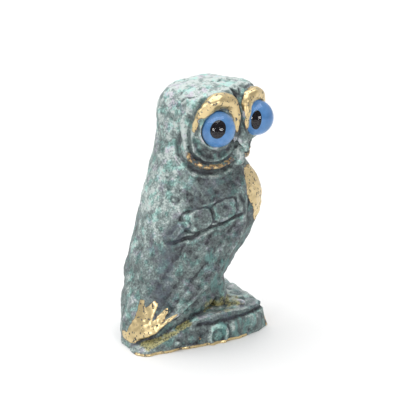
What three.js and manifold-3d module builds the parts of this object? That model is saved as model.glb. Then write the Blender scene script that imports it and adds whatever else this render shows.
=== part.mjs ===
// A small owl cast in one with its wedge base, and two glass eyes set in the face.
// Millimetres, +Z up. The origin is the middle of the base's underside. The body faces +X and
// stands in profile; the head is turned to its own right, towards -Y.
// The casting is a sculpted solid: each form is a function that gives the distance to its surface
// (negative inside), the forms are blended, and the blend is meshed on a grid of cells.

import * as THREE from 'three';
import { mergeVertices } from 'three/addons/utils/BufferGeometryUtils.js';
import Module from 'manifold-3d';

const rad = THREE.MathUtils.degToRad;

// Driving dimensions
const HEAD_TOP = 43.3;
const HEAD_MIDDLE = 37.0;
const HEAD_AT = [4.55, -0.58];
const HEAD_TURN = rad(18.6);
const HEAD_HALF_WIDTH = 7.9;
const HEAD_HALF_DEPTH = 7.35;
const HEAD_BELOW = 7.6;
const HEAD_SQUARENESS = 2.9;
const FACE_SQUARENESS = 4.2;

const EYE_RADIUS = 3.0;
const EYE_BACK = 1.2;
const EYE_APART = 4.7;
const EYE_FORWARD = 6.06;
const EYE_HEIGHT = 37.05;
const EYE_SPLAY = rad(11);
const SETTING_RADIUS = 3.5;
const SETTING_GAP = 0.25;
const LEFT_BROW_DROP = 0.6;

const BODY_SQUARENESS = 2.3;
const TAIL_SWING = 2.6;
const SWING_HEIGHT = 13;

const BASE_HALF_LENGTH = 13.6;
const BASE_HALF_WIDTH = 8.95;
const BASE_HEIGHT = 4.9;
const BASE_FALL = 0.37;

const GRID_STEP = 0.46;
const CASTING_FACES = 8500;

// Stations up the body: height, back, front, half width of the trunk, half width over the wings
const STATIONS = [
  [0, -12.7, -4.0, 4.0, 4.8],
  [3, -12.4, 0.0, 5.0, 6.2],
  [6, -11.6, 4.0, 5.6, 7.1],
  [10, -10.45, 6.7, 6.2, 7.9],
  [14, -9.3, 9.6, 6.8, 8.3],
  [18, -8.25, 12.3, 7.2, 8.35],
  [22, -7.25, 13.8, 7.4, 8.2],
  [26, -6.3, 13.0, 7.2, 7.7],
  [30, -5.1, 10.3, 6.6, 7.0],
  [34, -4.4, 8.6, 6.4, 6.6],
];

// Stations round an eye, from its outer side over the top and down the bridge of the beak:
// angle, distance of the brow from the eye, how far it stands forward, its thickness
const BROW = [
  [-25, 2.6, -3.0, -0.4],
  [0, 2.65, -2.6, 0.35],
  [30, 3.3, -1.8, 0.62],
  [60, 4.0, -0.8, 0.9],
  [90, 4.65, -0.1, 1.2],
  [120, 4.85, 0.4, 1.15],
  [150, 4.2, 0.75, 0.85],
  [180, 3.55, 0.85, 0.6],
  [210, 4.0, 0.9, 0.35],
  [240, 4.8, 0.4, -0.6],
];

// Blending

const clamp01 = (t) => Math.min(1, Math.max(0, t));

function ramp(from, to, x) {
  const t = clamp01((x - from) / (to - from));
  return t * t * (3 - 2 * t);
}

// One at the middle, nothing beyond the half width
function bump(x, half) {
  const t = clamp01(1 - (x / half) ** 2);
  return t * t;
}

function join(a, b, blend) {
  const h = clamp01(0.5 + (0.5 * (b - a)) / blend);
  return b + (a - b) * h - blend * h * (1 - h);
}

const common = (a, b, blend) => -join(-a, -b, blend);

// A smooth curve through one column of a table of stations
function through(table, column, at) {
  const last = table.length - 1;
  const x = Math.min(table[last][0], Math.max(table[0][0], at));
  let i = 0;
  while (i < last - 1 && table[i + 1][0] < x) i += 1;
  const slope = (k) => {
    const before = Math.max(0, k - 1);
    const after = Math.min(last, k + 1);
    return (table[after][column] - table[before][column]) / (table[after][0] - table[before][0]);
  };
  const step = table[i + 1][0] - table[i][0];
  const t = (x - table[i][0]) / step;
  const start = (1 + 2 * t) * (1 - t) ** 2 * table[i][column] + t * (1 - t) ** 2 * step * slope(i);
  const end = t * t * (3 - 2 * t) * table[i + 1][column] + t * t * (t - 1) * step * slope(i + 1);
  return start + end;
}

// Basic forms

// Distance to a rounded block whose sides run from an ellipse to a box as squareness grows
function roundedBlock(offsets, radii, squareness) {
  const reach = Math.hypot(...offsets, 1e-3);
  const sum = offsets.reduce((s, v, k) => s + Math.abs(v / radii[k]) ** squareness, 0);
  return Math.max(reach * (1 - 1 / (sum ** (1 / squareness) + 1e-9)), -Math.min(...radii));
}

function egg(offsets, radii) {
  const near = Math.hypot(...offsets.map((v, k) => v / radii[k])) + 1e-9;
  const far = Math.hypot(...offsets.map((v, k) => v / radii[k] ** 2)) + 1e-9;
  return (near * (near - 1)) / far;
}

// A straight rod with round ends whose radius runs from one value to another
function rod(p, from, to, radiusFrom, radiusTo) {
  const run = to.map((v, k) => v - from[k]);
  const off = p.map((v, k) => v - from[k]);
  const length2 = run.reduce((s, v) => s + v * v, 0);
  const t = clamp01(off.reduce((s, v, k) => s + v * run[k], 0) / length2);
  return Math.hypot(...off.map((v, k) => v - t * run[k])) - (radiusFrom + (radiusTo - radiusFrom) * t);
}

// Body, wings and tail

const tailMiddle = (z) => -TAIL_SWING * (1 - ramp(0, SWING_HEIGHT, z));

function bodySection(x, y, z, widthColumn) {
  const back = through(STATIONS, 1, z);
  const front = through(STATIONS, 2, z);
  const half = through(STATIONS, widthColumn, z);
  const offsets = [x - (back + front) / 2, y - tailMiddle(z)];
  return roundedBlock(offsets, [(front - back) / 2, half], BODY_SQUARENESS);
}

// The wing seen from the side: its front edge, the edge along the belly and the long lower edge
function wingOutline(x, z) {
  const front = x - 8.3;
  const belly = 0.8 * (x - 8.6) - 0.6 * (z - 19.5);
  const lower = 0.54 * (x - 1.1) - 0.84 * (z - 9.9);
  return common(common(front, belly, 1.5), lower, 1.0);
}

// The flight feathers fan out from a point below and behind the tail: angle of each edge, its depth
const FAN_AT = [-20, -8];
const WING_BACK = 61;
const FEATHER_EDGES = [
  [WING_BACK, 0.28],
  [57.6, 0.28],
  [52.2, 0.16],
  [48.2, 0.26],
  [44, 0.18],
];
const BAND_MIDDLE = [1.1, 22.4];
const BAND_TILT = rad(14);
const BOSSES = [-2.45, 2.45];

function featherRelief(x, z, across) {
  const dx = x - FAN_AT[0];
  const dz = z - FAN_AT[1];
  const angle = THREE.MathUtils.radToDeg(Math.atan2(dz, dx));
  const reach = Math.hypot(dx, dz);
  const onWing = ramp(-2.3, -2.9, across) * ramp(WING_BACK + 1, WING_BACK, angle);
  let height = 0;
  for (const [edge, depth] of FEATHER_EDGES) {
    const off = rad(angle - edge) * reach;
    height -= depth * (bump(off, 0.8) + 0.5 * ramp(-0.1, 0.6, off) * ramp(2.2, 0.6, off)) * onWing;
  }
  const behind = rad(angle - WING_BACK) * reach;
  return height - 0.4 * ramp(-0.3, 0.6, behind) * ramp(4, 1, behind) * ramp(24, 19, z);
}

function bandRelief(along, across) {
  const below = across + 2.1 + 0.45 * ramp(-2.5, -4.5, along);
  let height = -0.5 * bump(below, 0.6) * ramp(-8.6, -7.2, along) * ramp(6, 4.8, along);
  const frame = (Math.abs((along - 0.9) / 4.5) ** 4 + Math.abs((across + 0.1) / 2.1) ** 4) ** 0.25;
  height += 0.2 * bump(2.2 * (frame - 1), 0.45) * ramp(-2.4, -1.4, across) * ramp(-4.4, -3.2, along);
  for (const middle of BOSSES) {
    const q = (Math.abs((along - middle) / 2.1) ** 3 + Math.abs(across / 1.6) ** 3) ** (1 / 3);
    height += 0.36 * ramp(1.15, 0.75, q) - 0.22 * bump(q - 1.24, 0.2);
  }
  const leaf = rod([along, across], [-7.1, -1.7], [-4.9, -0.1], 0.3, 0.5);
  return height + 0.32 * ramp(0.35, -0.1, leaf);
}

function wingRelief(x, z) {
  const dx = x - BAND_MIDDLE[0];
  const dz = z - BAND_MIDDLE[1];
  const along = dx * Math.cos(BAND_TILT) + dz * Math.sin(BAND_TILT);
  const across = dz * Math.cos(BAND_TILT) - dx * Math.sin(BAND_TILT);
  return featherRelief(x, z, across) + bandRelief(along, across);
}

function body(x, y, z) {
  const trunk = bodySection(x, y, z, 3);
  const onSide = ramp(5, 6.4, Math.abs(y - tailMiddle(z)));
  const wide = bodySection(x, y, z, 4) - onSide * wingRelief(x, z);
  return join(trunk, common(wide, wingOutline(x, z), 0.7), 0.3);
}

// Head and face, in the head's own frame: across is to the owl's left, forward is out of the face

const FORWARD = [Math.sin(HEAD_TURN), -Math.cos(HEAD_TURN)];
const ACROSS = [Math.cos(HEAD_TURN), Math.sin(HEAD_TURN)];

function headFrame(x, y) {
  const dx = x - HEAD_AT[0];
  const dy = y - HEAD_AT[1];
  return [dx * ACROSS[0] + dy * ACROSS[1], dx * FORWARD[0] + dy * FORWARD[1]];
}

function skull(across, forward, z) {
  const up = z - HEAD_MIDDLE;
  const radii = [HEAD_HALF_WIDTH, HEAD_HALF_DEPTH, up > 0 ? HEAD_TOP - HEAD_MIDDLE : HEAD_BELOW];
  const towardsFace = ramp(-3, 4, forward) * ramp(0, 3, up);
  const squareness = HEAD_SQUARENESS + (FACE_SQUARENESS - HEAD_SQUARENESS) * towardsFace;
  return roundedBlock([across, forward + 0.6, up], radii, squareness);
}

function eyeDistance(side, forward, z) {
  return Math.hypot(side - EYE_APART, forward - EYE_FORWARD, z - EYE_HEIGHT);
}

// The short metal barrel that holds the glass
function setting(side, forward, z) {
  const u = side - EYE_APART;
  const v = forward - EYE_FORWARD;
  const along = u * Math.sin(EYE_SPLAY) + v * Math.cos(EYE_SPLAY);
  const off = Math.hypot(u * Math.cos(EYE_SPLAY) - v * Math.sin(EYE_SPLAY), z - EYE_HEIGHT);
  return common(common(off - SETTING_RADIUS - 0.25 * along, along - 0.1, 0.7), -along - 4.5, 0.7);
}

function brow(across, forward, z) {
  const outward = Math.abs(across) - EYE_APART;
  const up = z - EYE_HEIGHT + LEFT_BROW_DROP * ramp(-0.6, 0.6, across);
  let angle = THREE.MathUtils.radToDeg(Math.atan2(up, outward));
  if (angle < -90) angle += 360;
  const off = Math.hypot(outward, up) - through(BROW, 1, angle);
  return Math.hypot(off, forward - EYE_FORWARD - through(BROW, 2, angle)) - through(BROW, 3, angle);
}

function beak(across, forward, z) {
  const p = [across, forward, z];
  const bridge = rod(p, [0, 6.3, 38.2], [0, 7.5, 34.6], 0.6, 0.85);
  const tip = rod(p, [0, 7.5, 34.6], [0, 8.25, 33.1], 0.85, 0.4);
  const chin = rod(p, [0, 6.9, 32.3], [0, 6.6, 31.0], 0.85, 0.95);
  return join(join(bridge, tip, 0.5), chin, 0.5);
}

function head(x, y, z) {
  const [across, forward] = headFrame(x, y);
  const side = Math.abs(across);
  let d = skull(across, forward, z);
  d += 0.55 * bump(eyeDistance(side, forward, z) - 4.6, 1.4) * ramp(-2.5, 1, forward);
  const hollow = egg([side - EYE_APART + 0.2, forward - EYE_FORWARD - 1.0, z - EYE_HEIGHT - 1.0], [3.4, 1.8, 2.9]);
  d = common(d, -hollow, 0.5);
  d = join(d, setting(side, forward, z), 0.6);
  d = join(d, brow(across, forward, z), 0.8);
  d += 0.5 * bump(across, 0.6) * ramp(36, 38, z) * ramp(4.5, 6, forward);
  return join(d, beak(across, forward, z), 0.5);
}

// The raised rim round each face disc, with a groove outside it
function discRelief(x, y, z) {
  const [across, forward] = headFrame(x, y);
  const side = Math.abs(across);
  const reach = eyeDistance(side, forward, z);
  const onFace = ramp(-3, -0.5, forward) * ramp(0.6, 1.8, side) * ramp(2, -1.5, z - EYE_HEIGHT);
  const rim = 5.3 + 1.4 * ramp(0, -5, z - EYE_HEIGHT);
  return (0.5 * bump(reach - rim, 0.85) - 0.45 * bump(reach - rim - 1, 0.8)) * onFace;
}

// Feet and base

function feet(x, y, z) {
  const p = [x, Math.abs(y), z];
  let d = rod(p, [3.4, 3.4, 9], [5, 3.5, 5.6], 2.2, 1.5);
  for (const spread of [-0.45, 0.05, 0.5]) {
    const tip = [4.6 + 4.4 * Math.cos(spread), 3.5 + 4.4 * Math.sin(spread), 4.9];
    d = join(d, rod(p, [4.6, 3.5, 5.5], tip, 0.95, 0.6), 0.35);
  }
  return d;
}

// Plain rounded bosses along the near side of the base: position, height, half length, half height
const BASE_BOSSES = [
  [4.8, 2.3, 0.9, 1.2],
  [9.4, 2.2, 2.2, 1.4],
  [-3, 1.6, 1.3, 0.9],
  [-6, 1.2, 0.9, 0.7],
];

function baseRelief(x, z) {
  const arch = Math.hypot((x - 1.7) / 2.1, (z - 1.4) / 2.1);
  let height = 0.45 * bump(arch - 0.8, 0.35);
  for (const [bx, bz, halfLength, halfHeight] of BASE_BOSSES) {
    height += 0.45 * bump(Math.hypot((x - bx) / halfLength, (z - bz) / halfHeight), 1.2);
  }
  return height;
}

function base(x, y, z) {
  let sides = common(-y - BASE_HALF_WIDTH, y - BASE_HALF_WIDTH, 0.5);
  sides = common(sides, x - BASE_HALF_LENGTH + 0.18 * z, 1.2);
  sides = common(sides, -x - BASE_HALF_LENGTH + 0.5, 2.0);
  sides = common(sides, 0.42 * x - 0.907 * y - 10.7, 1.5);
  sides = common(sides, -0.86 * x + 0.51 * y - 9.6, 2.5);
  sides += 0.11 * z + 0.3 * bump(z - 3.7, 0.6) * ramp(-5, -1, x);
  const top = (z - BASE_HEIGHT + BASE_FALL * Math.max(0, -x - 1.5)) * 0.94;
  const block = common(sides, top, 1.0);
  return block - baseRelief(x, z) * ramp(-4.5, -6, y) * ramp(-1.2, -0.6, block);
}

function owl(x, y, z) {
  const trunk = common(body(x, y, z), z - 34, 3);
  let d = join(trunk, head(x, y, z), 1.4) - discRelief(x, y, z);
  d = join(d, base(x, y, z), 0.5);
  return join(d, feet(x, y, z), 0.4);
}

// Meshing: one vertex in each cell that the surface passes through, drawn onto the surface

function ticks(from, to, step) {
  const count = Math.ceil((to - from) / step);
  return Array.from({ length: count + 1 }, (_, k) => from + ((to - from) * k) / count);
}

function gradient(field, p, h) {
  const [x, y, z] = p;
  return [
    (field(x + h, y, z) - field(x - h, y, z)) / (2 * h),
    (field(x, y + h, z) - field(x, y - h, z)) / (2 * h),
    (field(x, y, z + h) - field(x, y, z - h)) / (2 * h),
  ];
}

function drawToSurface(field, p, reach) {
  for (let pass = 0; pass < 2; pass += 1) {
    const slope = gradient(field, p, 0.05);
    const steep = slope.reduce((s, v) => s + v * v, 1e-9);
    const move = slope.map((v) => (-v * field(...p)) / steep);
    const scale = Math.min(1, reach / (Math.hypot(...move) + 1e-9));
    p = p.map((v, k) => v + move[k] * scale);
  }
  return p;
}

// Values of the field at the grid's corners, and the surface's vertices and faces between them
function surfaceOf(field, axes) {
  const size = axes.map((marks) => marks.length);
  const index = (i, j, k) => (i * size[1] + j) * size[2] + k;
  const values = new Float64Array(size[0] * size[1] * size[2]);
  const eachCell = (first, visit) => {
    for (let i = first; i < size[0] - 1; i += 1) {
      for (let j = first; j < size[1] - 1; j += 1) {
        for (let k = first; k < size[2] - 1; k += 1) visit([i, j, k]);
      }
    }
  };
  axes[0].forEach((x, i) => {
    axes[1].forEach((y, j) => axes[2].forEach((z, k) => { values[index(i, j, k)] = field(x, y, z); }));
  });
  const stepped = (cell, axis) => cell.map((v, n) => v + (n === axis ? 1 : 0));
  const corners = Array.from({ length: 8 }, (_, c) => [c & 1, (c >> 1) & 1, (c >> 2) & 1]);
  const vertexOf = new Int32Array(values.length);
  const points = [];
  eachCell(0, (cell) => {
    const sum = [0, 0, 0];
    let hits = 0;
    for (const corner of corners) {
      for (let axis = 0; axis < 3; axis += 1) {
        if (corner[axis]) continue;
        const here = cell.map((v, n) => v + corner[n]);
        const next = stepped(here, axis);
        const a = values[index(...here)];
        const b = values[index(...next)];
        if ((a < 0) === (b < 0)) continue;
        const t = a / (a - b);
        for (let n = 0; n < 3; n += 1) sum[n] += axes[n][here[n]] * (1 - t) + axes[n][next[n]] * t;
        hits += 1;
      }
    }
    if (!hits) return;
    vertexOf[index(...cell)] = points.length;
    const reach = 0.4 * Math.min(...axes.map((marks, n) => marks[cell[n] + 1] - marks[cell[n]]));
    points.push(drawToSurface(field, sum.map((v) => v / hits), reach));
  });
  const faces = [];
  eachCell(1, (cell) => {
    for (let axis = 0; axis < 3; axis += 1) {
      const inside = values[index(...cell)] < 0;
      if (inside === values[index(...stepped(cell, axis))] < 0) continue;
      const back = (cell, steps) => vertexOf[index(...cell.map((v, n) => v - (steps.includes(n) ? 1 : 0)))];
      const u = (axis + 1) % 3;
      const w = (axis + 2) % 3;
      const quad = [back(cell, []), back(cell, [u]), back(cell, [u, w]), back(cell, [w])];
      if (!inside) quad.reverse();
      faces.push([quad[0], quad[1], quad[2]], [quad[0], quad[2], quad[3]]);
    }
  });
  return evened(field, { points, faces });
}

// Each vertex moves towards the middle of its neighbours, and back onto the surface
function evened(field, { points, faces }) {
  for (let pass = 0; pass < 6; pass += 1) {
    const sums = points.map(() => [0, 0, 0, 0]);
    for (const face of faces) {
      face.forEach((v, n) => {
        const next = points[face[(n + 1) % 3]];
        sums[v] = sums[v].map((sum, k) => sum + (k < 3 ? next[k] : 1));
      });
    }
    points = points.map((p, v) => {
      const middle = sums[v].slice(0, 3).map((sum) => sum / sums[v][3]);
      return drawToSurface(field, p.map((x, k) => (x + middle[k]) / 2), GRID_STEP / 2);
    });
  }
  return { points, faces };
}

// Thinning: edges are drawn together where that moves the surface least, until few enough faces are left

const SLIVER = 2e-3;

function facePlane(points, face) {
  const [a, b, c] = face.map((v) => new THREE.Vector3(...points[v]));
  const normal = b.clone().sub(a).cross(c.clone().sub(a));
  const area = normal.length();
  normal.divideScalar(area + 1e-12);
  return { normal, offset: -normal.dot(a), area };
}

function addPlane(quadric, { normal, offset, area }) {
  const plane = [normal.x, normal.y, normal.z, offset];
  let n = 0;
  for (let i = 0; i < 4; i += 1) {
    for (let j = i; j < 4; j += 1) {
      quadric[n] += area * plane[i] * plane[j];
      n += 1;
    }
  }
}

// How far a point lies from the planes gathered in a quadric
function misfit(q, [x, y, z]) {
  const squares = q[0] * x * x + q[4] * y * y + q[7] * z * z + q[9];
  return squares + 2 * (q[1] * x * y + q[2] * x * z + q[3] * x + q[5] * y * z + q[6] * y + q[8] * z);
}

function bestMeeting(q, from, to) {
  const middle = from.map((v, n) => (v + to[n]) / 2);
  const matrix = new THREE.Matrix3().set(q[0], q[1], q[2], q[1], q[4], q[5], q[2], q[5], q[7]);
  const scale = Math.max(q[0] + q[4] + q[7], 1e-12);
  const choices = [from, to, middle];
  if (Math.abs(matrix.determinant()) > 1e-4 * scale ** 3) {
    const exact = new THREE.Vector3(-q[3], -q[6], -q[8]).applyMatrix3(matrix.invert()).toArray();
    const span = Math.hypot(...from.map((v, n) => v - to[n]));
    if (Math.hypot(...exact.map((v, n) => v - middle[n])) < span) choices.push(exact);
  }
  const costs = choices.map((p) => misfit(q, p));
  const cost = Math.min(...costs);
  return { cost, at: choices[costs.indexOf(cost)] };
}

function keepsItsFaces(points, faces, around, moved, at) {
  return around.every((f) => {
    const before = facePlane(points, faces[f]);
    const shifted = faces[f].map((v) => (moved.includes(v) ? at : points[v]));
    const after = facePlane(shifted, [0, 1, 2]);
    const flips = before.area > SLIVER && before.normal.dot(after.normal) < 0.3;
    return after.area >= Math.min(SLIVER, before.area) && !flips;
  });
}

function thinned({ points, faces }, target) {
  const quadrics = points.map(() => new Float64Array(10));
  faces.forEach((face) => face.forEach((v) => addPlane(quadrics[v], facePlane(points, face))));
  let before = Infinity;
  while (faces.length > target && faces.length < before) {
    before = faces.length;
    const facesAt = points.map(() => []);
    faces.forEach((face, f) => face.forEach((v) => facesAt[v].push(f)));
    const neighbours = (v) => new Set(facesAt[v].flatMap((f) => faces[f]).filter((w) => w !== v));
    const edges = [];
    faces.forEach((face) => face.forEach((a, n) => {
      const b = face[(n + 1) % 3];
      if (a > b) return;
      const q = quadrics[a].map((v, i) => v + quadrics[b][i]);
      edges.push({ a, b, q, ...bestMeeting(q, points[a], points[b]) });
    }));
    edges.sort((left, right) => left.cost - right.cost);
    const touched = new Set();
    let left = faces.length;
    for (const { a, b, q, at } of edges.slice(0, Math.ceil(edges.length / 4))) {
      if (left <= target) break;
      if (touched.has(a) || touched.has(b)) continue;
      const nearA = neighbours(a);
      const nearB = neighbours(b);
      if ([...nearA].filter((v) => nearB.has(v)).length !== 2) continue;
      const around = [...new Set([...facesAt[a], ...facesAt[b]])];
      const kept = around.filter((f) => !(faces[f].includes(a) && faces[f].includes(b)));
      if (!keepsItsFaces(points, faces, kept, [a, b], at)) continue;
      points[a] = at;
      quadrics[a] = q;
      kept.forEach((f) => { faces[f] = faces[f].map((v) => (v === b ? a : v)); });
      around.filter((f) => !kept.includes(f)).forEach((f) => { faces[f] = null; });
      left -= around.length - kept.length;
      for (const v of [a, b, ...nearA, ...nearB]) touched.add(v);
    }
    faces = faces.filter((face) => face);
  }
  return { points, faces };
}

function geometryFrom({ points, faces }) {
  const corners = faces.flat().flatMap((v) => points[v]);
  const geometry = new THREE.BufferGeometry();
  geometry.setAttribute('position', new THREE.Float32BufferAttribute(corners, 3));
  return geometry;
}

// Cutting

const wasm = await Module();
wasm.setup();

function solidOf(geometry) {
  const bare = geometry.index ? geometry.toNonIndexed() : geometry.clone();
  bare.deleteAttribute('normal');
  bare.deleteAttribute('uv');
  const merged = mergeVertices(bare, 1e-4);
  const vertProperties = new Float32Array(merged.attributes.position.array);
  return new wasm.Manifold(new wasm.Mesh({ numProp: 3, vertProperties, triVerts: new Uint32Array(merged.index.array) }));
}

function meshOf(solid) {
  const { vertProperties, triVerts } = solid.getMesh();
  const inThrees = (list) => Array.from({ length: list.length / 3 }, (_, k) => [...list.subarray(3 * k, 3 * k + 3)]);
  return { points: inThrees(vertProperties), faces: inThrees(triVerts) };
}

// A glass eye: a round dome in front of its widest part and a shallow curve behind it
function eyeGeometry(grow, segments, steps) {
  const profile = Array.from({ length: steps + 1 }, (_, k) => {
    const t = -Math.PI / 2 + (Math.PI * k) / steps;
    const depth = t < 0 ? EYE_BACK : EYE_RADIUS;
    const radius = k === 0 || k === steps ? 0 : (EYE_RADIUS + grow) * Math.cos(t);
    return new THREE.Vector2(radius, (depth + grow) * Math.sin(t));
  });
  return new THREE.LatheGeometry(profile, segments);
}

// Where an eye sits: its middle, and its axis turned a little outward from the face
function eyePlace(sideSign) {
  const across = sideSign * EYE_APART;
  const splay = sideSign * EYE_SPLAY;
  const mix = (a, f) => new THREE.Vector3(ACROSS[0] * a + FORWARD[0] * f, ACROSS[1] * a + FORWARD[1] * f, 0);
  const middle = mix(across, EYE_FORWARD).add(new THREE.Vector3(HEAD_AT[0], HEAD_AT[1], EYE_HEIGHT));
  const axis = mix(Math.sin(splay), Math.cos(splay)).normalize();
  const turn = new THREE.Quaternion().setFromUnitVectors(new THREE.Vector3(0, 1, 0), axis);
  return { middle, turn };
}

function castingGeometry() {
  const cells = [ticks(-15, 16, GRID_STEP), ticks(-11, 11, GRID_STEP), ticks(-3, 45, GRID_STEP)];
  const sculpture = surfaceOf((x, y, z) => common(owl(x, y, z), -z - 1, 0.1), cells);
  const belowGround = new THREE.BoxGeometry(60, 60, 10).translate(0, 0, -5);
  let solid = solidOf(geometryFrom(sculpture)).subtract(solidOf(belowGround));
  for (const sideSign of [-1, 1]) {
    const { middle, turn } = eyePlace(sideSign);
    const socket = eyeGeometry(SETTING_GAP, 28, 14).applyQuaternion(turn).translate(...middle);
    solid = solid.subtract(solidOf(socket));
  }
  const { points, faces } = thinned(meshOf(solid), CASTING_FACES);
  points.forEach((p) => { if (Math.abs(p[2]) < 0.01) p[2] = 0; });
  const geometry = geometryFrom({ points, faces });
  geometry.computeVertexNormals();
  return geometry;
}

function glassEye(name, sideSign) {
  const glass = new THREE.MeshStandardMaterial({ color: 0x4c86cf, roughness: 0.06, metalness: 0 });
  const mesh = new THREE.Mesh(eyeGeometry(0, 28, 14), glass);
  const { middle, turn } = eyePlace(sideSign);
  mesh.name = name;
  mesh.position.copy(middle);
  mesh.quaternion.copy(turn);
  return mesh;
}

const bronze = new THREE.MeshStandardMaterial({ color: 0x6c857c, roughness: 0.55, metalness: 0.7 });
const casting = new THREE.Mesh(castingGeometry(), bronze);
casting.name = 'owl_casting';

const statue = new THREE.Group();
statue.add(casting, glassEye('glass_eye_right', -1), glassEye('glass_eye_left', 1));

export default statue;
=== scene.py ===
"""A small patinated owl, cast in one with its wedge base, with two clear glass eyes.

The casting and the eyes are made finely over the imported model, in the same frame.
The sculpting functions work in millimetres; the meshes are in metres.
"""

import math

import bpy
import numpy as np
from bpy.props import FloatProperty, FloatVectorProperty, IntProperty, PointerProperty
from bpy.types import Operator, Panel, PropertyGroup
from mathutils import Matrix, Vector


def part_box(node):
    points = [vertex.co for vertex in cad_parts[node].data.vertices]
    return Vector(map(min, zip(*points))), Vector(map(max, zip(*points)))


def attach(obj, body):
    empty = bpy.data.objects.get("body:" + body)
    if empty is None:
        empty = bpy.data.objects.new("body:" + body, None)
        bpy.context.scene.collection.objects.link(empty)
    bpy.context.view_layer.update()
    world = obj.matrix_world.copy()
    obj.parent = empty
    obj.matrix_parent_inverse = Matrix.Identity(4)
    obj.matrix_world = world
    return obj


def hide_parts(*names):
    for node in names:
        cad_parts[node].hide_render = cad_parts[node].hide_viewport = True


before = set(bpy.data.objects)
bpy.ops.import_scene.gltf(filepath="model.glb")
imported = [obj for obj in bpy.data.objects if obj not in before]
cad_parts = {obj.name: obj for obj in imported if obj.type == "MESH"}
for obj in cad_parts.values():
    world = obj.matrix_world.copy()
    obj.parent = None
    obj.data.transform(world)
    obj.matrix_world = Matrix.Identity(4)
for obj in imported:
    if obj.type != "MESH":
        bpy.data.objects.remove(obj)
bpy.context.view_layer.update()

bl_info = {
    "name": "Owl statue",
    "version": (1, 0, 0),
    "blender": (4, 5, 0),
    "location": "3D View > Sidebar > Owl",
    "description": "Makes a small cast owl with glass eyes on a wedge base",
    "category": "Add Mesh",
}

MILLIMETRE = 0.001
CASTING = "owl_casting"
EYES = {"right": -1, "left": 1}

# Driving sizes of the sculpture, in millimetres

HEAD_TOP = 43.3
HEAD_MIDDLE = 37.0
HEAD_AT = (4.55, -0.58)
HEAD_TURN = math.radians(18.6)
HEAD_HALF_WIDTH = 7.9
HEAD_HALF_DEPTH = 7.35
HEAD_BELOW = 7.6
HEAD_SQUARENESS = 2.9
FACE_SQUARENESS = 4.2

EYE_RADIUS = 3.0
EYE_BACK = 1.2
EYE_APART = 4.7
EYE_FORWARD = 6.06
EYE_HEIGHT = 37.05
EYE_SPLAY = math.radians(11)
PUPIL_DROP = 0.3
SETTING_RADIUS = 3.5
SETTING_GAP = 0.12
LEFT_BROW_DROP = 0.6

BODY_SQUARENESS = 2.3
TAIL_SWING = 2.6
SWING_HEIGHT = 13

BASE_HALF_LENGTH = 13.6
BASE_HALF_WIDTH = 8.95
BASE_HEIGHT = 4.9
BASE_FALL = 0.37

# Stations up the body: height, back, front, half width of the trunk, half width over the wings
STATIONS = (
    (0, -12.7, -4.0, 4.0, 4.8),
    (3, -12.4, 0.0, 5.0, 6.2),
    (6, -11.6, 4.0, 5.6, 7.1),
    (10, -10.45, 6.7, 6.2, 7.9),
    (14, -9.3, 9.6, 6.8, 8.3),
    (18, -8.25, 12.3, 7.2, 8.35),
    (22, -7.25, 13.8, 7.4, 8.2),
    (26, -6.3, 13.0, 7.2, 7.7),
    (30, -5.1, 10.3, 6.6, 7.0),
    (34, -4.4, 8.6, 6.4, 6.6),
)

# Stations round an eye, from its outer side over the top and down the bridge of the beak:
# angle, distance of the brow from the eye, how far it stands forward, its thickness
BROW = (
    (-25, 2.6, -3.0, -0.4),
    (0, 2.65, -2.6, 0.35),
    (30, 3.3, -1.8, 0.62),
    (60, 4.0, -0.8, 0.9),
    (90, 4.65, -0.1, 1.2),
    (120, 4.85, 0.4, 1.15),
    (150, 4.2, 0.75, 0.85),
    (180, 3.55, 0.85, 0.6),
    (210, 4.0, 0.9, 0.35),
    (240, 4.8, 0.4, -0.6),
)

# Plain rounded bosses along the near side of the base: position, height, half length, half height
BASE_BOSSES = (
    (4.8, 2.3, 0.9, 1.2),
    (9.4, 2.2, 2.2, 1.4),
    (-3, 1.6, 1.3, 0.9),
    (-6, 1.2, 0.9, 0.7),
)

# The flight feathers fan out from a point below and behind the tail: angle of each edge, its depth
FAN_AT = (-20, -8)
WING_BACK = 61
FEATHER_EDGES = ((WING_BACK, 0.28), (57.6, 0.28), (52.2, 0.16), (48.2, 0.26), (44, 0.18))
BAND_MIDDLE = (1.1, 22.4)
BAND_TILT = math.radians(14)
BOSSES = (-2.45, 2.45)

# Small round punch marks on the shoulder and the breast: middle, radius
PUNCH_MARKS = (
    (-3.07, 26.4, 0.55),
    (-4.5, 25.1, 0.5),
    (-2.2, 25.6, 0.45),
    (-1.1, 26.1, 0.5),
    (-0.3, 28.2, 0.45),
    (-5.4, 26.7, 0.45),
    (9.04, 24.6, 0.4),
)


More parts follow.
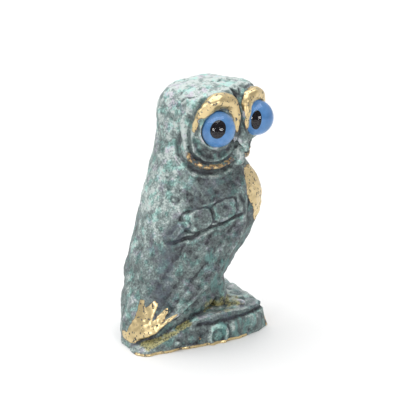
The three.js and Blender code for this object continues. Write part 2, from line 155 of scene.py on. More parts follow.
class CastingSizes(PropertyGroup):
    cell: FloatProperty(
        name="Mesh cell", description="Size of the cells that the casting is meshed on",
        default=0.165 * MILLIMETRE, min=0.1 * MILLIMETRE, max=1 * MILLIMETRE, subtype="DISTANCE", unit="LENGTH")
    pit_depth: FloatProperty(
        name="Pit depth", description="Depth of the pits in the cast skin",
        default=0.18 * MILLIMETRE, min=0, max=0.4 * MILLIMETRE, subtype="DISTANCE", unit="LENGTH")
    pit_spacing: FloatProperty(
        name="Pit spacing", description="Usual distance from one pit to the next",
        default=1.1 * MILLIMETRE, min=0.3 * MILLIMETRE, max=4 * MILLIMETRE, subtype="DISTANCE", unit="LENGTH")
    grain_depth: FloatProperty(
        name="Grain depth", description="Height of the fine grain of the cast skin",
        default=0.10 * MILLIMETRE, min=0, max=0.3 * MILLIMETRE, subtype="DISTANCE", unit="LENGTH")
    seed: IntProperty(name="Seed", description="Picks where the pits fall", default=7, min=0)
    patina: FloatVectorProperty(
        name="Patina", description="Main colour of the weathered bronze",
        default=(0.10, 0.165, 0.155), size=3, min=0, max=1, subtype="COLOR")
    brass: FloatVectorProperty(
        name="Polished metal", description="Colour of the metal where it is rubbed bright",
        default=(0.72, 0.57, 0.31), size=3, min=0, max=1, subtype="COLOR")


class EyeSizes(PropertyGroup):
    pupil_radius: FloatProperty(
        name="Pupil radius", description="Radius of the black pupil sealed in the glass",
        default=1.05 * MILLIMETRE, min=0.3 * MILLIMETRE, max=2.5 * MILLIMETRE, subtype="DISTANCE", unit="LENGTH")
    iris_radius: FloatProperty(
        name="Iris radius", description="Radius of the blue iris sealed in the glass",
        default=2.8 * MILLIMETRE, min=1 * MILLIMETRE, max=2.9 * MILLIMETRE, subtype="DISTANCE", unit="LENGTH")
    iris: FloatVectorProperty(
        name="Iris colour", description="Blue of the iris",
        default=(0.13, 0.34, 0.72), size=3, min=0, max=1, subtype="COLOR")


# Blending

def ramp(start, stop, x):
    t = np.clip((x - start) / (stop - start), 0, 1)
    return t * t * (3 - 2 * t)


def bump(x, half):
    """One at the middle, nothing beyond the half width"""
    t = np.clip(1 - (x / half) ** 2, 0, 1)
    return t * t


def join(a, b, blend):
    h = np.clip(0.5 + 0.5 * (b - a) / blend, 0, 1)
    return b + (a - b) * h - blend * h * (1 - h)


def common(a, b, blend):
    return -join(-a, -b, blend)


def through(table, column, at):
    """A smooth curve through one column of a table of stations"""
    stations = np.array([row[0] for row in table], float)
    values = np.array([row[column] for row in table], float)
    last = len(table) - 1
    x = np.clip(at, stations[0], stations[last])
    before = np.maximum(np.arange(last + 1) - 1, 0)
    after = np.minimum(np.arange(last + 1) + 1, last)
    slopes = (values[after] - values[before]) / (stations[after] - stations[before])
    i = np.clip(np.searchsorted(stations, x) - 1, 0, last - 1)
    step = stations[i + 1] - stations[i]
    t = (x - stations[i]) / step
    start = (1 + 2 * t) * (1 - t) ** 2 * values[i] + t * (1 - t) ** 2 * step * slopes[i]
    end = t * t * (3 - 2 * t) * values[i + 1] + t * t * (t - 1) * step * slopes[i + 1]
    return start + end


# Basic forms

def length(*parts):
    return np.sqrt(sum(part * part for part in parts))


def rounded_block(offsets, radii, squareness):
    """Distance to a block whose sides run from an ellipse to a box as squareness grows"""
    reach = length(*offsets, 1e-3)
    total = sum(np.abs(v / r) ** squareness for v, r in zip(offsets, radii))
    least = min(np.min(r) for r in radii)
    return np.maximum(reach * (1 - 1 / (total ** (1 / squareness) + 1e-9)), -least)


def egg(offsets, radii):
    near = length(*[v / r for v, r in zip(offsets, radii)]) + 1e-9
    far = length(*[v / r ** 2 for v, r in zip(offsets, radii)]) + 1e-9
    return near * (near - 1) / far


def rod(p, start, stop, radius_start, radius_stop):
    """A straight rod with round ends whose radius runs from one value to another"""
    run = [b - a for a, b in zip(start, stop)]
    off = [v - a for v, a in zip(p, start)]
    t = np.clip(sum(v * r for v, r in zip(off, run)) / sum(r * r for r in run), 0, 1)
    return length(*[v - t * r for v, r in zip(off, run)]) - (radius_start + (radius_stop - radius_start) * t)


# Body, wings and tail

def tail_middle(z):
    return -TAIL_SWING * (1 - ramp(0, SWING_HEIGHT, z))


def body_section(x, y, z, width_column):
    back = through(STATIONS, 1, z)
    front = through(STATIONS, 2, z)
    half = through(STATIONS, width_column, z)
    offsets = (x - (back + front) / 2, y - tail_middle(z))
    return rounded_block(offsets, ((front - back) / 2, half), BODY_SQUARENESS)


def wing_outline(x, z):
    """The wing seen from the side: its front edge, the edge along the belly and the long lower edge"""
    belly = 0.8 * (x - 8.6) - 0.6 * (z - 19.5)
    lower = 0.54 * (x - 1.1) - 0.84 * (z - 9.9)
    return common(common(x - 8.3, belly, 1.5), lower, 1.0)


def feather_relief(x, z, across):
    dx = x - FAN_AT[0]
    dz = z - FAN_AT[1]
    angle = np.degrees(np.arctan2(dz, dx))
    reach = length(dx, dz)
    on_wing = ramp(-2.3, -2.9, across) * ramp(WING_BACK + 1, WING_BACK, angle)
    height = 0
    for edge, depth in FEATHER_EDGES:
        off = np.radians(angle - edge) * reach
        step = 0.5 * ramp(-0.1, 0.6, off) * ramp(2.2, 0.6, off)
        height = height - depth * (0.7 * bump(off, 0.8) + 0.4 * bump(off, 0.35) + step) * on_wing
    behind = np.radians(angle - WING_BACK) * reach
    return height - 0.4 * ramp(-0.3, 0.6, behind) * ramp(4, 1, behind) * ramp(24, 19, z)


def band_relief(along, across):
    below = across + 2.1 + 0.45 * ramp(-2.5, -4.5, along)
    under = ramp(-8.6, -7.2, along) * ramp(6, 4.8, along)
    height = (0.13 * bump(below + 0.62, 0.3) - 0.5 * bump(below, 0.5)) * under
    frame_line = (np.abs((along - 0.9) / 4.5) ** 4 + np.abs((across + 0.1) / 2.1) ** 4) ** 0.25
    height = height + 0.2 * bump(2.2 * (frame_line - 1), 0.32) * ramp(-2.4, -1.4, across) * ramp(-4.4, -3.2, along)
    for middle in BOSSES:
        q = (np.abs((along - middle) / 2.1) ** 3 + np.abs(across / 1.6) ** 3) ** (1 / 3)
        height = height + 0.32 * ramp(1.15, 0.7, q) + 0.1 * bump(q - 0.97, 0.1) - 0.22 * bump(q - 1.22, 0.17)
    leaf = rod((along, across), (-7.1, -1.7), (-4.9, -0.1), 0.3, 0.5)
    return height + 0.32 * ramp(0.35, -0.1, leaf) + 0.08 * bump(leaf + 0.05, 0.15)


def on_band(x, z):
    """Places along and across the band of bosses on the wing"""
    dx = x - BAND_MIDDLE[0]
    dz = z - BAND_MIDDLE[1]
    along = dx * math.cos(BAND_TILT) + dz * math.sin(BAND_TILT)
    across = dz * math.cos(BAND_TILT) - dx * math.sin(BAND_TILT)
    return along, across


def punch_relief(x, z):
    return sum(-0.12 * bump(length(x - px, z - pz) - radius, 0.2) for px, pz, radius in PUNCH_MARKS)


def wing_relief(x, z):
    along, across = on_band(x, z)
    return feather_relief(x, z, across) + band_relief(along, across)


def body(x, y, z):
    trunk = body_section(x, y, z, 3)
    on_side = ramp(5, 6.4, np.abs(y - tail_middle(z)))
    wide = body_section(x, y, z, 4) - on_side * wing_relief(x, z)
    return join(trunk, common(wide, wing_outline(x, z), 0.7), 0.3)


# Head and face, in the head's own frame: across is to the owl's left, forward is out of the face

FORWARD = (math.sin(HEAD_TURN), -math.cos(HEAD_TURN))
ACROSS = (math.cos(HEAD_TURN), math.sin(HEAD_TURN))


def head_frame(x, y):
    dx = x - HEAD_AT[0]
    dy = y - HEAD_AT[1]
    return dx * ACROSS[0] + dy * ACROSS[1], dx * FORWARD[0] + dy * FORWARD[1]


def skull(across, forward, z):
    up = z - HEAD_MIDDLE
    half_height = np.where(up > 0, HEAD_TOP - HEAD_MIDDLE, HEAD_BELOW)
    towards_face = ramp(-3, 4, forward) * ramp(0, 3, up)
    squareness = HEAD_SQUARENESS + (FACE_SQUARENESS - HEAD_SQUARENESS) * towards_face
    return rounded_block((across, forward + 0.6, up), (HEAD_HALF_WIDTH, HEAD_HALF_DEPTH, half_height), squareness)


def eye_distance(side, forward, z):
    return length(side - EYE_APART, forward - EYE_FORWARD, z - EYE_HEIGHT)


def eye_frame(side, forward, z):
    """Distance along an eye's axis, and off it"""
    u = side - EYE_APART
    v = forward - EYE_FORWARD
    along = u * math.sin(EYE_SPLAY) + v * math.cos(EYE_SPLAY)
    off = length(u * math.cos(EYE_SPLAY) - v * math.sin(EYE_SPLAY), z - EYE_HEIGHT)
    return along, off


def setting(side, forward, z):
    """The short metal barrel that holds the glass"""
    along, off = eye_frame(side, forward, z)
    return common(common(off - SETTING_RADIUS - 0.25 * along, along - 0.1, 0.7), -along - 4.5, 0.7)


def socket(side, forward, z):
    """The room that the glass sits in"""
    along, off = eye_frame(side, forward, z)
    depth = np.where(along > 0, EYE_RADIUS, EYE_BACK) + SETTING_GAP
    return egg((along, off), (depth, EYE_RADIUS + SETTING_GAP))


def brow(across, forward, z):
    outward = np.abs(across) - EYE_APART
    up = z - EYE_HEIGHT + LEFT_BROW_DROP * ramp(-0.6, 0.6, across)
    angle = np.degrees(np.arctan2(up, outward))
    angle = np.where(angle < -90, angle + 360, angle)
    off = length(outward, up) - through(BROW, 1, angle)
    return length(off, forward - EYE_FORWARD - through(BROW, 2, angle)) - through(BROW, 3, angle)


def beak(across, forward, z):
    p = (across, forward, z)
    bridge = rod(p, (0, 6.3, 38.2), (0, 7.5, 34.6), 0.6, 0.85)
    tip = rod(p, (0, 7.5, 34.6), (0, 8.25, 33.1), 0.85, 0.4)
    chin = rod(p, (0, 6.9, 32.3), (0, 6.6, 31.0), 0.85, 0.95)
    return join(join(bridge, tip, 0.5), chin, 0.5)


def head(x, y, z):
    across, forward = head_frame(x, y)
    side = np.abs(across)
    d = skull(across, forward, z)
    d = d + 0.55 * bump(eye_distance(side, forward, z) - 4.6, 1.4) * ramp(-2.5, 1, forward)
    hollow = egg((side - EYE_APART + 0.2, forward - EYE_FORWARD - 1.0, z - EYE_HEIGHT - 1.0), (3.4, 1.8, 2.9))
    d = common(d, -hollow, 0.5)
    d = join(d, setting(side, forward, z), 0.6)
    d = join(d, brow(across, forward, z), 0.8)
    d = d + 0.5 * bump(across, 0.6) * ramp(36, 38, z) * ramp(4.5, 6, forward)
    return join(d, beak(across, forward, z), 0.5)


def disc_relief(x, y, z):
    """The raised rim round each face disc, the groove outside it and the finer ring within"""
    across, forward = head_frame(x, y)
    side = np.abs(across)
    reach = eye_distance(side, forward, z)
    on_face = ramp(-3, -0.5, forward) * ramp(0.6, 1.8, side) * ramp(2, -1.5, z - EYE_HEIGHT)
    rim = 5.3 + 1.4 * ramp(0, -5, z - EYE_HEIGHT)
    under = 0.35 + 0.65 * ramp(-1, -5, z - EYE_HEIGHT)
    height = 0.5 * bump(reach - rim, 0.85) - 0.45 * bump(reach - rim - 1, 0.8) * under
    height = height + 0.2 * bump(reach - rim + 1.15, 0.4) - 0.15 * bump(reach - rim + 0.65, 0.35)
    collar = 0.16 * bump(reach - rim - 1.75, 0.3) * ramp(-4, -6, z - EYE_HEIGHT)
    return (height + collar) * on_face


# Cuts in the head: two points each, in the head's own frame, with half width and depth
HEAD_CUTS = (
    ((-7.3, -1.0, 41.4), (-7.2, 0.3, 41.1), 0.32, 0.4),
    ((-7.2, 0.3, 41.1), (-6.9, 1.2, 41.9), 0.32, 0.4),
    ((-6.9, 1.2, 41.9), (-6.6, 2.5, 42.2), 0.28, 0.35),
    ((-0.5, 0.6, 43.3), (0.9, 0.3, 43.3), 0.26, 0.4),
    ((0.6, 1.3, 43.3), (3.0, 0.9, 43.3), 0.18, 0.2),
    ((0.1, 5.0, 42.7), (0.7, 6.2, 41.6), 0.25, 0.3),
    ((0.7, 6.2, 41.6), (1.3, 5.2, 42.6), 0.25, 0.3),
)


def head_cuts(x, y, z):
    across, forward = head_frame(x, y)
    total = 0
    for start, stop, half, depth in HEAD_CUTS:
        total = np.maximum(total, depth * bump(rod((across, forward, z), start, stop, 0, 0), half))
    return total


# Feet and base

def feet(x, y, z):
    p = (x, np.abs(y), z)
    d = rod(p, (3.4, 3.4, 9), (5, 3.5, 5.6), 2.2, 1.5)
    for spread in (-0.45, 0.05, 0.5):
        tip = (4.6 + 4.4 * math.cos(spread), 3.5 + 4.4 * math.sin(spread), 4.9)
        d = join(d, rod(p, (4.6, 3.5, 5.5), tip, 0.95, 0.6), 0.35)
    return d


def base_relief(x, z):
    arch = length((x - 1.7) / 2.1, (z - 1.4) / 2.1)
    height = 0.45 * bump(arch - 0.8, 0.3)
    for place, level, half_length, half_height in BASE_BOSSES:
        height = height + 0.45 * bump(length((x - place) / half_length, (z - level) / half_height), 1.2)
    return height


def base(x, y, z):
    sides = common(-y - BASE_HALF_WIDTH, y - BASE_HALF_WIDTH, 0.5)
    sides = common(sides, x - BASE_HALF_LENGTH + 0.18 * z, 1.2)
    sides = common(sides, -x - BASE_HALF_LENGTH + 0.5, 2.0)
    sides = common(sides, 0.42 * x - 0.907 * y - 10.7, 1.5)
    sides = common(sides, -0.86 * x + 0.51 * y - 9.6, 2.5)
    sides = sides + 0.11 * z + 0.3 * bump(z - 3.7, 0.6) * ramp(-5, -1, x)
    top = (z - BASE_HEIGHT + BASE_FALL * np.maximum(0, -x - 1.5)) * 0.94
    block = common(sides, top, 1.0)
    return block - base_relief(x, z) * ramp(-4.5, -6, y) * ramp(-1.2, -0.6, block)


def wander(x, y, z, size, seed):
    """A smooth random value about 0 that changes over the given size"""
    random = np.random.default_rng(seed)
    total = 0
    for _ in range(6):
        turn = random.normal(size=3)
        turn *= 2 * math.pi / (size * np.linalg.norm(turn) * random.uniform(0.7, 1.4))
        total = total + np.sin(turn[0] * x + turn[1] * y + turn[2] * z + random.uniform(0, 2 * math.pi))
    return total / 3


def owl(x, y, z):
    """The whole casting: each form drawn a little out of true, as a hand-made mould is"""
    drift = [0.13 * wander(x, y, z, 3.2, seed) + 0.05 * wander(x, y, z, 1.3, seed + 10) for seed in (1, 2, 3)]
    px, py, pz = x + drift[0], y + drift[1], z + drift[2] * ramp(0, 2, z)
    trunk = common(body(px, py, pz), pz - 34, 3)
    d = join(trunk, head(px, py, pz), 1.4) - disc_relief(px, py, pz) + head_cuts(px, py, pz)
    d = d - punch_relief(px, pz) * ramp(3, 4, np.abs(y))
    d = join(d, base(px, py, pz), 0.5)
    d = join(d, feet(px, py, pz), 0.4)
    across, forward = head_frame(x, y)
    d = common(d, -socket(np.abs(across), forward, z), 0.08)
    return common(d, -z, 0.05)


# Meshing: one vertex in each cell that the surface passes through, drawn onto the surface

BLOCK = 6


def ticks(start, stop, step):
    cells = BLOCK * math.ceil((stop - start) / (step * BLOCK))
    return start + step * np.arange(cells + 1)


def sampled(field, axes, band):
    """The field on a grid: worked out near the surface, and only its sign kept elsewhere"""
    shape = tuple(len(marks) for marks in axes)
    blocks = [(n - 1) // BLOCK for n in shape]
    middles = [marks[:-1].reshape(-1, BLOCK).mean(1) + (marks[1] - marks[0]) / 2 for marks in axes]
    coarse = field(*[part.ravel() for part in np.meshgrid(*middles, indexing="ij")]).reshape(blocks)
    near = np.abs(coarse) < band
    values = np.empty(shape)
    fine_near = np.zeros(shape, bool)
    fill = coarse
    for axis in range(3):
        fill = np.repeat(fill, BLOCK, axis=axis)
        near = np.repeat(near, BLOCK, axis=axis)
    values[:-1, :-1, :-1] = fill
    fine_near[:-1, :-1, :-1] = near
    values[-1], values[:, -1], values[:, :, -1] = 1, 1, 1
    for axis in range(3):
        fine_near = fine_near | np.roll(fine_near, 1, axis=axis)
    i, j, k = np.nonzero(fine_near)
    values[i, j, k] = field(axes[0][i], axes[1][j], axes[2][k])
    return values


def slope_of(field, points, h):
    parts = []
    for axis in range(3):
        step = np.zeros(3)
        step[axis] = h
        parts.append((field(*(points + step).T) - field(*(points - step).T)) / (2 * h))
    return np.stack(parts, 1)


def drawn_to_surface(field, points, reach, passes):
    for _ in range(passes):
        slope = slope_of(field, points, 0.03)
        move = -slope * (field(*points.T) / ((slope ** 2).sum(1) + 1e-9))[:, None]
        size = np.linalg.norm(move, axis=1, keepdims=True)
        points = points + move * np.minimum(1, reach / np.maximum(size, 1e-9))
    return points


def crossings(values, axes):
    """The middle of the places where the surface crosses each cell's edges"""
    inside = values < 0
    corners = [(a, b, c) for a in (0, 1) for b in (0, 1) for c in (0, 1)]
    size = [n - 1 for n in values.shape]
    count = sum(inside[a:a + size[0], b:b + size[1], c:c + size[2]].astype(np.int8) for a, b, c in corners)
    cells = np.nonzero((count > 0) & (count < 8))
    number = -np.ones(size, np.int64)
    number[cells] = np.arange(len(cells[0]))
    total = np.zeros((len(cells[0]), 3))
    hits = np.zeros(len(cells[0]))
    for corner in corners:
        for axis in range(3):
            if corner[axis]:
                continue
            here = [cells[n] + corner[n] for n in range(3)]
            there = [here[n] + (n == axis) for n in range(3)]
            a, b = values[tuple(here)], values[tuple(there)]
            crossed = (a < 0) != (b < 0)
            t = np.where(crossed, a / np.where(crossed, a - b, 1), 0)
            place = [axes[n][here[n]] * (1 - t) + axes[n][there[n]] * t for n in range(3)]
            total += np.where(crossed[:, None], np.stack(place, 1), 0)
            hits += crossed
    return total / hits[:, None], number, inside


def quads_between(number, inside):
    """A face round every grid edge that the surface crosses, facing outwards"""
    faces = []
    for axis in range(3):
        low = tuple(slice(0, -1) if n == axis else slice(1, -1) for n in range(3))
        high = tuple(slice(1, None) if n == axis else slice(1, -1) for n in range(3))
        edges = np.argwhere(inside[low] != inside[high])
        outwards = inside[high][tuple(edges.T)]
        first = edges + np.array([n != axis for n in range(3)], int)
        u = np.eye(3, dtype=int)[(axis + 1) % 3]
        w = np.eye(3, dtype=int)[(axis + 2) % 3]
        quad = np.stack([number[tuple((first - step).T)] for step in (0 * u, u, u + w, w)], 1)
        quad[outwards] = quad[outwards][:, ::-1]
        faces.append(quad)
    return np.concatenate(faces)


def neighbour_mean(quads, values):
    """For each vertex, the mean of its neighbours' values"""
    starts = quads.ravel()
    stops = np.roll(quads, -1, axis=1).ravel()
    ends = np.concatenate([starts, stops])
    others = np.concatenate([stops, starts])
    count = np.bincount(ends, minlength=len(values))
    columns = values.reshape(len(values), -1).T
    sums = [np.bincount(ends, weights=column[others], minlength=len(values)) for column in columns]
    return (np.stack(sums, 1) / np.maximum(count, 1)[:, None]).reshape(values.shape)


def sculpted(field, cell):
    """The surface of the sculpture as points and four-sided faces"""
    axes = [ticks(-15, 16, cell), ticks(-11, 11, cell), ticks(-1.5, 45, cell)]
    values = sampled(field, axes, band=6 * cell + 1.0)
    points, number, inside = crossings(values, axes)
    quads = quads_between(number, inside)
    points = drawn_to_surface(field, points, 0.4 * cell, 1)
    for _ in range(2):
        points = (points + neighbour_mean(quads, points)) / 2
        points = drawn_to_surface(field, points, 0.5 * cell, 1)
    return points, quads


# What is hollow, rubbed bright or mossy on the casting: a value from 0 to 1 for each vertex

def hollows(points, quads, normals):
    """How far each place lies below what is round it, from -1 on an edge to 1 in a groove"""
    result = 0
    for passes, reach in ((4, 0.035), (24, 0.12)):
        even = points
        for _ in range(passes):
            even = neighbour_mean(quads, even)
        depth = ((even - points) * normals).sum(1)
        for _ in range(2):
            depth = neighbour_mean(quads, depth)
        result = result + np.clip(depth / reach, -1, 1) / 2
    return result


def rubbed_brows(points):
    across, forward = head_frame(points[:, 0], points[:, 1])
    side = np.abs(across)
    near = ramp(0.45, 0.05, brow(across, forward, points[:, 2]))
    low_end = ramp(35.2, 37.2, points[:, 2]) * ramp(0.35, 0.75, side)
    return near * low_end


def rubbed_discs(points):
    x, y, z = points.T
    across, forward = head_frame(x, y)
    side = np.abs(across)
    reach = eye_distance(side, forward, z)
    rim = 5.3 + 1.4 * ramp(0, -5, z - EYE_HEIGHT)
    under = ramp(-3.2, -4.4, z - EYE_HEIGHT) * ramp(0.9, 1.5, side) * ramp(1, 3, forward)
    return 0.5 * ramp(1.0, 0.5, np.abs(reach - rim - 0.05)) * under


def rubbed_breast(points):
    x, y, z = points.T
    edge = 8.1 + 2.0 * ramp(25.5, 20.0, z)
    return ramp(18.6, 19.8, z) * ramp(29.4, 28.2, z) * ramp(edge - 0.3, edge + 0.5, x) * ramp(5, 3.5, y)


def rubbed_wing_tip(points):
    """The worn tip of the wing: a fan that ends in ragged fingers"""
    x, y, z = points.T
    along = 0.59 * (x + 12.6) + 0.81 * (z - 1.2)
    off = 0.81 * (x + 12.6) - 0.59 * (z - 1.2)
    share = off / (0.45 + 0.26 * np.maximum(along, 0))
    gaps = 1.6 * bump(share + 0.72, 0.22) + 3.2 * bump(share + 0.02, 0.3) + 1.8 * bump(share - 0.72, 0.25)
    fan = ramp(8.5, 7.9, along + gaps + ramp(-0.6, -1, share)) * ramp(1.12, 0.98, np.abs(share))
    above_base = ramp(-0.1, 0.4, z - BASE_HEIGHT - BASE_FALL * (x + 1.5))
    return fan * ramp(-0.4, 0.4, along) * ramp(-0.5, -2.5, y) * above_base


def rubbed_edges(points):
    x, y, z = points.T
    foot = ramp(0.62, 0.3, z) * ramp(-6, -7.5, y) * ramp(8.5, 7, x)
    front = ramp(2.6, 1.6, z) * ramp(12.3, 12.9, x) * 0.6
    spot = bump(length(x + 1.7, z - 1.5), 0.6) * ramp(-7, -8, y)
    return np.maximum(np.maximum(foot, front), spot)


def rubbed(points):
    parts = [rubbed_brows, rubbed_discs, rubbed_breast, rubbed_wing_tip, rubbed_edges]
    return np.max([part(points) for part in parts], axis=0)


def mossy(points):
    x, y, z = points.T
    top = BASE_HEIGHT + BASE_FALL * np.minimum(0, x + 1.5)
    foot = 0.75 * ramp(-1, 1, x) * ramp(10, 7, x) * ramp(-0.3, 0.2, z - top) * ramp(3.5, 0.8, z - top)
    behind = bump(z - top + 0.1, 0.75) * ramp(-12.6, -11, x) * ramp(-2, -3.5, x)
    return np.maximum(foot, behind) * ramp(1, -3, y)


def pale_crust_and_painted_light(points, normals):
    """How much paler the crust is drawn: painted light on the back and on what faces up, and paler crust on the sides
    of the head
    """
    x, y, z = points.T
    # Painted light: what faces the back and what faces up is drawn paler, standing in for the light from above
    back = 0.75 * ramp(-0.15, -0.8, normals[:, 0]) * (0.5 + 0.5 * ramp(10, 26, z))
    painted_light_from_above = 1.1 * ramp(0.55, 0.95, normals[:, 2])
    head_side = 0.6 * ramp(32, 35, z) * ramp(2.0, -1.5, x)
    return np.max([back, painted_light_from_above, head_side], axis=0)


def tealness(points):
    """The bluer green of the front feathers and of the base's bosses"""
    x, y, z = points.T
    feathers = ramp(-3, 1, x) * ramp(20, 16, z) * ramp(6, 8, z) * ramp(0.2, 1.2, np.abs(y) - 3)
    lobes = ramp(-1, 1, x) * ramp(3.8, 3.2, z)
    return np.maximum(feathers, lobes)


def navy_crust_and_painted_shade(points):
    """Painted shade in the valley behind the wing's rear edge, and blue-black under the face and along the base's upper
    edge
    """
    x, y, z = points.T
    # Painted shade: a dark band where the back meets the wing's raised rear edge
    painted_shade_behind_wing = bump((x + 6.5) + 0.3 * (14 - z), 3.2) * ramp(5, 8, z) * ramp(24, 20, z)
    shoulder = 0.7 * ramp(-4.5, -2, x) * ramp(7, 4, x) * ramp(21, 24, z) * ramp(31, 28, z)
    base_edge = 0.8 * ramp(3.2, 3.7, z) * ramp(5.2, 4.8, z) * ramp(-3, -1, x)
    return np.max([painted_shade_behind_wing, shoulder, base_edge], axis=0)


# Meshes

def new_piece(name, points_mm, faces, smooth=True):
    mesh = bpy.data.meshes.new(name)
    mesh.from_pydata((points_mm * MILLIMETRE).tolist(), [], faces.tolist())
    mesh.validate()
    mesh.polygons.foreach_set("use_smooth", np.full(len(mesh.polygons), smooth))
    piece = bpy.data.objects.new(name, mesh)
    bpy.context.scene.collection.objects.link(piece)
    return piece


def set_attribute(mesh, name, values):
    mesh.attributes.new(name, "FLOAT", "POINT").data.foreach_set("value", values.astype(np.float32))


def vertex_normals(mesh):
    normals = np.empty(len(mesh.vertices) * 3)
    mesh.vertex_normals.foreach_get("vector", normals)
    return normals.reshape(-1, 3)


def vertex_places(mesh):
    places = np.empty(len(mesh.vertices) * 3)
    mesh.vertices.foreach_get("co", places)
    return places.reshape(-1, 3)


def kept_in_box(mesh, low, high):
    places = np.clip(vertex_places(mesh), np.array(low), np.array(high))
    mesh.vertices.foreach_set("co", places.ravel())
    mesh.update()


def wired(tree, kind, inputs=None, settings=None):
    """A new node with its settings, its plain input values and its links"""
    node = tree.nodes.new(kind)
    for key, value in (settings or {}).items():
        setattr(node, key, value)
    for key, value in (inputs or {}).items():
        if isinstance(value, bpy.types.NodeSocket):
            tree.links.new(value, node.inputs[key])
        else:
            node.inputs[key].default_value = value
    return node


def calc(tree, operation, *values, clamp=False):
    inputs = dict(enumerate(values))
    return wired(tree, "ShaderNodeMath", inputs, {"operation": operation, "use_clamp": clamp}).outputs[0]


# The cast skin: pits and grain that follow the surface

def cast_skin_tree(metal):
    tree = bpy.data.node_groups.new("cast_skin", "GeometryNodeTree")
    face = tree.interface
    face.new_socket("Geometry", in_out="INPUT", socket_type="NodeSocketGeometry")
    for name in ("Pit depth", "Pit spacing", "Grain depth"):
        face.new_socket(name, in_out="INPUT", socket_type="NodeSocketFloat")
    face.new_socket("Seed", in_out="INPUT", socket_type="NodeSocketInt")
    face.new_socket("Geometry", in_out="OUTPUT", socket_type="NodeSocketGeometry")
    given = tree.nodes.new("NodeGroupInput").outputs
    place = tree.nodes.new("GeometryNodeInputPosition").outputs[0]
    normal = tree.nodes.new("GeometryNodeInputNormal").outputs[0]
    bright = wired(tree, "GeometryNodeInputNamedAttribute", {"Name": "polish"}, {"data_type": "FLOAT"})
    spread = wired(tree, "ShaderNodeVectorMath", {0: place, 1: (1, 1, 1)}, {"operation": "SCALE"})
    tree.links.new(calc(tree, "DIVIDE", 1.0, given["Pit spacing"]), spread.inputs["Scale"])
    cells = wired(tree, "ShaderNodeTexVoronoi", {"W": given["Seed"], "Vector": spread.outputs[0], "Scale": 1.0},
                  {"voronoi_dimensions": "4D", "feature": "F1"})
    pits = wired(tree, "ShaderNodeMapRange",
                 {"Value": cells.outputs["Distance"], "From Min": 0.1, "From Max": 0.42, "To Min": 1.0, "To Max": 0.0},
                 {"interpolation_type": "SMOOTHSTEP"})
    clouds = wired(tree, "ShaderNodeTexNoise",
                   {"W": given["Seed"], "Vector": spread.outputs[0], "Scale": 0.55, "Detail": 2.0},
                   {"noise_dimensions": "4D"})
    where = wired(tree, "ShaderNodeMapRange",
                  {"Value": clouds.outputs[0], "From Min": 0.46, "From Max": 0.62},
                  {"interpolation_type": "SMOOTHSTEP"})
    grain = wired(tree, "ShaderNodeTexNoise",
                  {"W": given["Seed"], "Vector": spread.outputs[0], "Scale": 1.5, "Detail": 3.0, "Roughness": 0.65},
                  {"noise_dimensions": "4D"})
    rough = calc(tree, "SUBTRACT", 1.0, calc(tree, "MULTIPLY", bright.outputs["Attribute"], 0.75))
    pit_drop = calc(tree, "MULTIPLY", calc(tree, "MULTIPLY", pits.outputs[0], where.outputs[0]), given["Pit depth"])
    grain_drop = calc(tree, "MULTIPLY", grain.outputs[0], given["Grain depth"])
    drop = calc(tree, "MULTIPLY", calc(tree, "ADD", pit_drop, grain_drop), rough)
    off = wired(tree, "ShaderNodeVectorMath", {0: normal}, {"operation": "SCALE"})
    tree.links.new(calc(tree, "MULTIPLY", drop, -1.0), off.inputs["Scale"])
    above = calc(tree, "GREATER_THAN",
                 wired(tree, "ShaderNodeSeparateXYZ", {0: place}).outputs["Z"], 0.02 * MILLIMETRE)
    moved = wired(tree, "GeometryNodeSetPosition",
                  {"Geometry": given["Geometry"], "Offset": off.outputs[0], "Selection": above})
    kept = wired(tree, "GeometryNodeStoreNamedAttribute",
                 {"Geometry": moved.outputs[0], "Name": "pit", "Value": pit_drop},
                 {"data_type": "FLOAT", "domain": "POINT"})
    real = wired(tree, "GeometryNodeRealizeInstances", {0: kept.outputs[0]})
    made = wired(tree, "GeometryNodeSetMaterial", {"Geometry": real.outputs[0], "Material": metal})
    tree.links.new(made.outputs[0], tree.nodes.new("NodeGroupOutput").inputs[0])
    return tree


def socket_key(tree, name):
    return next(item.identifier for item in tree.interface.items_tree if item.name == name and item.in_out == "INPUT")


def with_cast_skin(piece, sizes, metal):
    """The piece's mesh after the tree has worked on it, as a plain mesh"""
    tree = cast_skin_tree(metal)
    skin = piece.modifiers.new("cast_skin", "NODES")
    skin.node_group = tree
    inputs = {"Pit depth": sizes.pit_depth, "Pit spacing": sizes.pit_spacing,
              "Grain depth": sizes.grain_depth, "Seed": sizes.seed}
    for name, value in inputs.items():
        skin[socket_key(tree, name)] = value
    worked = piece.evaluated_get(bpy.context.evaluated_depsgraph_get())
    mesh = bpy.data.meshes.new_from_object(worked)
    mesh.name = piece.name
    piece.modifiers.clear()
    piece.data = mesh


# Materials

def new_material(name):
    material = bpy.data.materials.new(name)
    material.use_nodes = True
    tree = material.node_tree
    return material, tree, tree.nodes["Principled BSDF"]


def noise(tree, place, scale, detail=3.0, roughness=0.55, distortion=0.0):
    inputs = {"Vector": place, "Scale": scale, "Detail": detail, "Roughness": roughness, "Distortion": distortion}
    return wired(tree, "ShaderNodeTexNoise", inputs).outputs["Fac"]


def spread_out(tree, value, low, high, clamp=True):
    inputs = {"Value": value, "From Min": low, "From Max": high}
    return wired(tree, "ShaderNodeMapRange", inputs, {"interpolation_type": "SMOOTHSTEP", "clamp": clamp}).outputs[0]


def mixed(tree, amount, first, second, blend="MIX"):
    node = wired(tree, "ShaderNodeMix", {"Factor": amount}, {"data_type": "RGBA", "blend_type": blend})
    for key, value in ((6, first), (7, second)):
        if isinstance(value, bpy.types.NodeSocket):
            tree.links.new(value, node.inputs[key])
        else:
            node.inputs[key].default_value = (*value, 1) if len(value) == 3 else value
    return node.outputs[2]


def attribute(tree, name):
    return wired(tree, "ShaderNodeAttribute", settings={"attribute_name": name}).outputs["Fac"]


